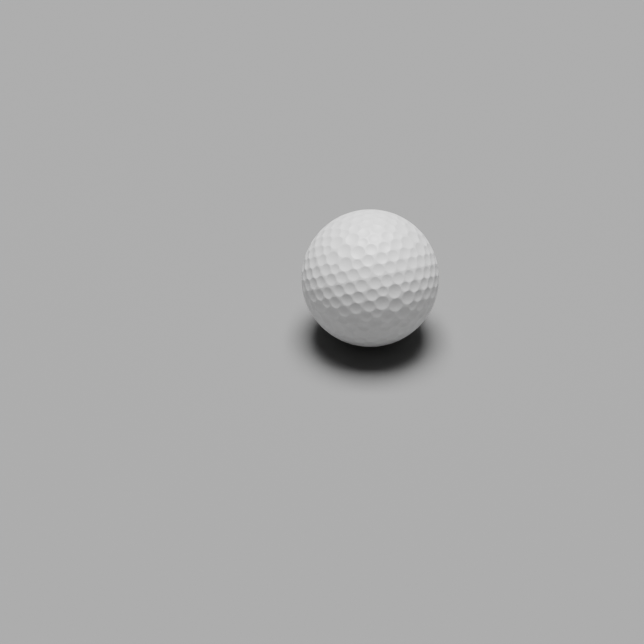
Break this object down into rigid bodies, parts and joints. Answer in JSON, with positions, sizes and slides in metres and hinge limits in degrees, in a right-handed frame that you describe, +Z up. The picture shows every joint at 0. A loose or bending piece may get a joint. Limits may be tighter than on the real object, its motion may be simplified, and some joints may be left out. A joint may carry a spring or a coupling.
{
  "type": "golf ball",
  "caption": "Dimpled golf ball, built in layers: an inner and an outer rubber core, a thin mantle, and cover halves that meet on a straight parting line.",
  "frame": {"origin": "the ball's centre", "axes": "+Z up along a three-fold axis of the dimple pattern; -Z through the land that the ball sits on; the moulding pole of the two cover halves leans from +Z towards +Y; +X lies in the parting plane"},
  "size_m": [0.0426, 0.0426, 0.0426],
  "materials": {
    "inner_core_rubber": "matte moulded rubber",
    "outer_core_rubber": "matte moulded rubber",
    "mantle_ionomer": "translucent natural ionomer, fine tumbled",
    "painted_cover": "white urethane under a clear satin-gloss coat"
  },
  "bodies": {
    "root": {"inner_core": "inner_core_rubber", "outer_core_back": "outer_core_rubber", "outer_core_front": "outer_core_rubber", "mantle": "mantle_ionomer", "cover_upper": "painted_cover", "cover_lower": "painted_cover"}
  },
  "joints": []
}
